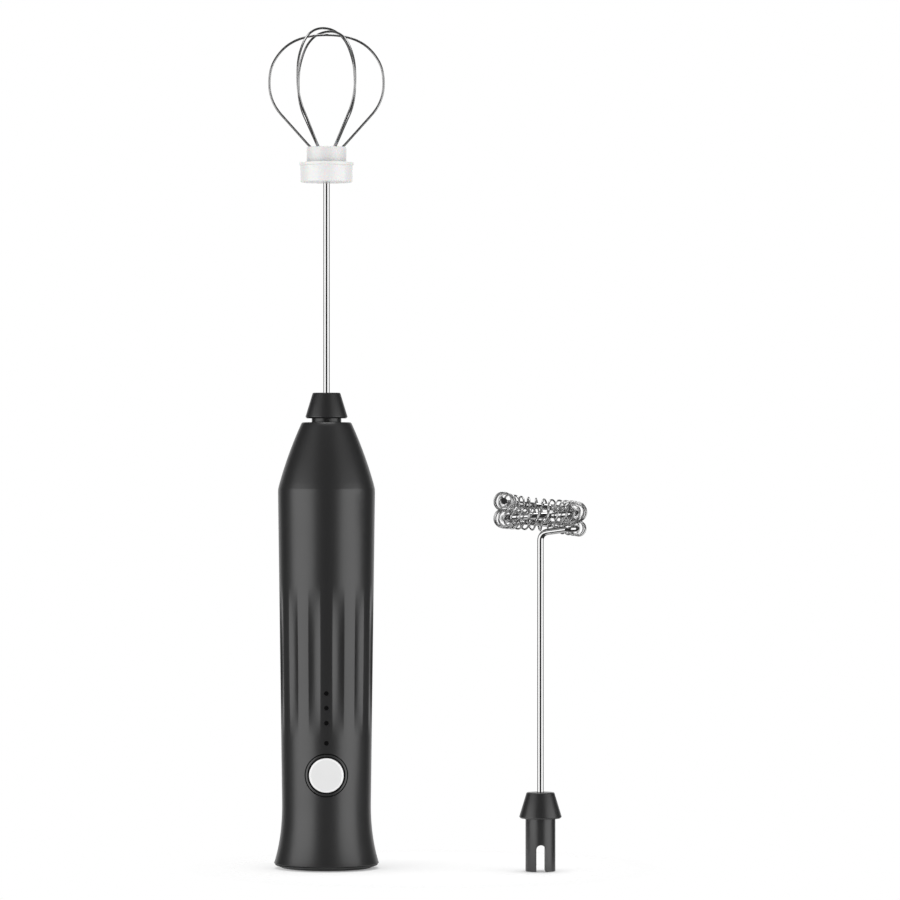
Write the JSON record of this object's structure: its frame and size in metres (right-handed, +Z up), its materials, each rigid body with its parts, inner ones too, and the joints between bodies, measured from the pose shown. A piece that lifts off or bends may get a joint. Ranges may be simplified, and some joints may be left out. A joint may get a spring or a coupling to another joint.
{
  "type": "milk frother",
  "caption": "Hand-held rechargeable milk frother: black handle with fluted grip and push button, balloon whisk fitted, spring frothing head standing beside it.",
  "frame": {"origin": "centre of the handle's flat base, on the handle's axis", "axes": "+Z up along the handle, the button faces -Y, the spare frothing head stands at +X"},
  "size_m": [0.0983, 0.0443, 0.2605],
  "materials": {
    "body_black": "fine satin black moulding",
    "coupling_black": "satin black moulding",
    "button_grey": "satin light grey moulding",
    "dark_lens": "smoked clear light guide",
    "seal_rubber": "soft black rubber",
    "frame_grey": "moulded grey plastic",
    "board_green": "green solder mask on glass laminate",
    "screw_steel": "zinc plated",
    "chip_black": "moulded epoxy",
    "led_white": "clear epoxy",
    "port_steel": "stamped bright steel",
    "cell_steel": "nickel plated",
    "cell_wrap": "blue heat-shrink film",
    "nickel_strip": "plain nickel",
    "foam": "closed-cell foam",
    "motor_steel": "zinc plated can",
    "end_bell_white": "moulded nylon",
    "magnet_grey": "sintered ferrite",
    "bronze": "sintered bronze",
    "brush_copper": "copper",
    "winding_copper": "enamelled copper wire",
    "core_steel": "stacked steel laminations",
    "shaft_steel": "polished stainless steel",
    "wire_steel": "bright stainless wire",
    "hub_white": "natural white nylon",
    "hub_nylon": "moulded nylon",
    "plunger_white": "moulded nylon",
    "lead_red": "red insulated lead",
    "lead_black": "black insulated lead"
  },
  "bodies": {
    "handle": {"handle_shell": "body_black", "base_cap": "body_black", "base_seal": "seal_rubber", "button_ring": "body_black", "light_guide": "dark_lens", "inner_frame": "frame_grey", "main_board": "board_green", "board_screws": "screw_steel", "switch_body": "chip_black", "status_leds": "led_white", "controller_chip": "chip_black", "motor_driver_chip": "chip_black", "chip_resistors": "chip_black", "charge_board": "board_green", "usb_receptacle": "port_steel", "charge_chip": "chip_black", "battery_cell": "cell_steel", "battery_sleeve": "cell_wrap", "battery_tabs": "nickel_strip", "battery_pads": "foam", "motor_can": "motor_steel", "motor_end_bell": "end_bell_white", "motor_magnets": "magnet_grey", "front_bush": "bronze", "rear_bush": "bronze", "motor_brushes": "brush_copper", "motor_terminals": "nickel_strip", "motor_sleeve": "seal_rubber", "motor_pad": "foam", "shaft_seal": "seal_rubber", "motor_lead_red": "lead_red", "motor_lead_black": "lead_black", "battery_lead_red": "lead_red", "battery_lead_black": "lead_black", "charge_lead_red": "lead_red", "charge_lead_black": "lead_black"},
    "rotor": {"motor_shaft": "shaft_steel", "armature_core": "core_steel", "armature_windings": "winding_copper", "commutator": "brush_copper", "drive_hub": "hub_nylon"},
    "whisk_attachment": {"whisk_coupling": "coupling_black", "whisk_shaft": "shaft_steel", "hub_collar": "hub_white", "wire_holder": "hub_white", "whisk_loop_low": "wire_steel", "whisk_loop_mid": "wire_steel", "whisk_loop_high": "wire_steel"},
    "froth_attachment": {"froth_coupling": "coupling_black", "froth_shaft": "shaft_steel", "froth_coil": "wire_steel"},
    "button": {"button": "button_grey"},
    "switch_plunger": {"switch_plunger": "plunger_white"}
  },
  "joints": [
    {"name": "motor_spin", "type": "hinge", "parent": "handle", "child": "rotor", "pos_m": [0, 0, 0.1], "axis": [0, 0, 1], "continuous": true},
    {"name": "whisk_pull", "type": "slide", "parent": "rotor", "child": "whisk_attachment", "axis": [0, 0, 1], "range_m": [0, 0.018]},
    {"name": "froth_lift", "type": "slide", "parent": "handle", "child": "froth_attachment", "axis": [0, 0, 1], "range_m": [0, 0.03]},
    {"name": "button_press", "type": "slide", "parent": "handle", "child": "button", "axis": [0, 1, 0], "range_m": [0, 0.00035]},
    {"name": "plunger_press", "type": "slide", "parent": "handle", "child": "switch_plunger", "axis": [0, 1, 0], "range_m": [0, 0.00035]}
  ],
  "couplings": [
    {"joint": "plunger_press", "follows": "button_press", "ratio": 1}
  ]
}
